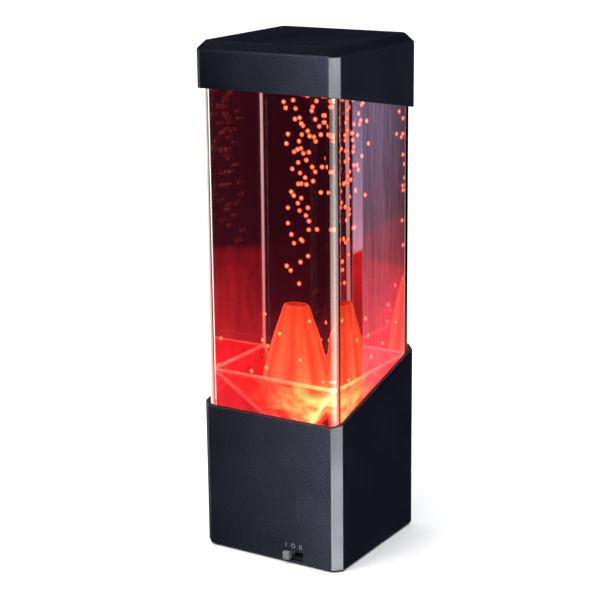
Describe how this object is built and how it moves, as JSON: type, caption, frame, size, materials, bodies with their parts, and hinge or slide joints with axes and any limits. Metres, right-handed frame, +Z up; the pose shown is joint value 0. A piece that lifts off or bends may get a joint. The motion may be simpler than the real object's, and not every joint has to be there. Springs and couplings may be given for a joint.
{
  "type": "volcano bead lamp",
  "caption": "Square liquid-filled lamp with a black slanted base and cap, a clear tank, a volcano cone in a funnel, rising beads and a magnetic pump.",
  "frame": {"origin": "centre of the square footprint, on the plane that the rubber feet stand on", "axes": "+Z up along the tank; the switch and the lower side of the sloping base rim face -Y; +X is to the right seen from the front"},
  "size_m": [0.08, 0.0815, 0.2577],
  "materials": {
    "black_shell": "fine-grained satin moulding",
    "dark_rubber": "matt",
    "steel": "plain",
    "cell_jacket": "satin sleeve",
    "grey_plastic": "plain",
    "knob_plastic": "fine satin",
    "contact_brass": "plain",
    "circuit_board": "solder mask",
    "black_plastic": "plain",
    "lead_insulation": "soft",
    "magnet_ferrite": "sintered",
    "magnet_plated": "plated",
    "copper_winding": "enamelled wire",
    "white_plastic": "plain",
    "led_lens": "lit lens",
    "tank_acrylic": "clear",
    "funnel_acrylic": "clear",
    "volcano_plastic": "translucent, lit from below",
    "tinted_water": "clear liquid lit red",
    "lava_bead": "lit",
    "seal_rubber": "soft",
    "dark_plastic": "plain"
  },
  "bodies": {
    "lamp_body": {"base_housing": "black_shell", "bottom_cover": "black_shell", "cover_screws": "steel", "foot_1": "dark_rubber", "foot_2": "dark_rubber", "foot_3": "dark_rubber", "foot_4": "dark_rubber", "battery_cell_1": "cell_jacket", "battery_cell_2": "cell_jacket", "battery_cell_3": "cell_jacket", "battery_springs": "steel", "battery_plates": "steel", "switch_body": "grey_plastic", "switch_pins": "contact_brass", "control_board": "circuit_board", "control_chip": "black_plastic", "capacitor": "black_plastic", "dc_inlet": "black_plastic", "inlet_pin": "steel", "battery_leads": "lead_insulation", "motor_leads": "lead_insulation", "led_leads": "lead_insulation", "motor_bracket": "steel", "motor_case": "steel", "motor_end_cap": "black_plastic", "field_magnets": "magnet_ferrite", "motor_terminals": "contact_brass", "bracket_screws": "steel", "led_board": "circuit_board", "board_screws": "steel", "led_1": "led_lens", "led_2": "led_lens", "led_3": "led_lens", "led_4": "led_lens", "tank_pad": "dark_rubber", "tank": "tank_acrylic", "pump_housing": "funnel_acrylic", "impeller_axle": "steel", "riser_tube": "funnel_acrylic", "funnel": "funnel_acrylic", "volcano_cone": "volcano_plastic", "water_fill": "tinted_water", "rising_beads": "lava_bead", "sinking_beads": "lava_bead", "lid_seal": "seal_rubber", "tank_lid": "dark_plastic"},
    "battery_door": {"battery_door": "black_shell"},
    "switch": {"switch_knob": "knob_plastic"},
    "motor_rotor": {"motor_armature": "copper_winding", "motor_shaft": "steel", "magnet_carrier": "white_plastic", "drive_magnet_1": "magnet_plated", "drive_magnet_2": "magnet_plated"},
    "impeller": {"impeller": "white_plastic", "impeller_magnet_1": "magnet_plated", "impeller_magnet_2": "magnet_plated"},
    "plug": {"filler_plug": "dark_rubber"},
    "cap": {"top_cap": "black_shell"}
  },
  "joints": [
    {"name": "switch_slide", "type": "slide", "parent": "lamp_body", "child": "switch", "axis": [1, 0, 0], "range_m": [0, 0.0074]},
    {"name": "battery_door_hinge", "type": "hinge", "parent": "lamp_body", "child": "battery_door", "pos_m": [-0.0263, 0.006, 0.0023], "axis": [0, 1, 0], "range_deg": [0, 90]},
    {"name": "cap_lift", "type": "slide", "parent": "lamp_body", "child": "cap", "axis": [0, 0, 1], "range_m": [0, 0.035]},
    {"name": "plug_lift", "type": "slide", "parent": "lamp_body", "child": "plug", "axis": [0, 0, 1], "range_m": [0, 0.005]},
    {"name": "drive_spin", "type": "hinge", "parent": "lamp_body", "child": "motor_rotor", "pos_m": [0, 0, 0.04], "axis": [0, 0, 1], "continuous": true},
    {"name": "impeller_spin", "type": "hinge", "parent": "lamp_body", "child": "impeller", "pos_m": [0, 0, 0.053], "axis": [0, 0, 1], "continuous": true}
  ],
  "couplings": [
    {"joint": "impeller_spin", "follows": "drive_spin", "ratio": 1}
  ]
}
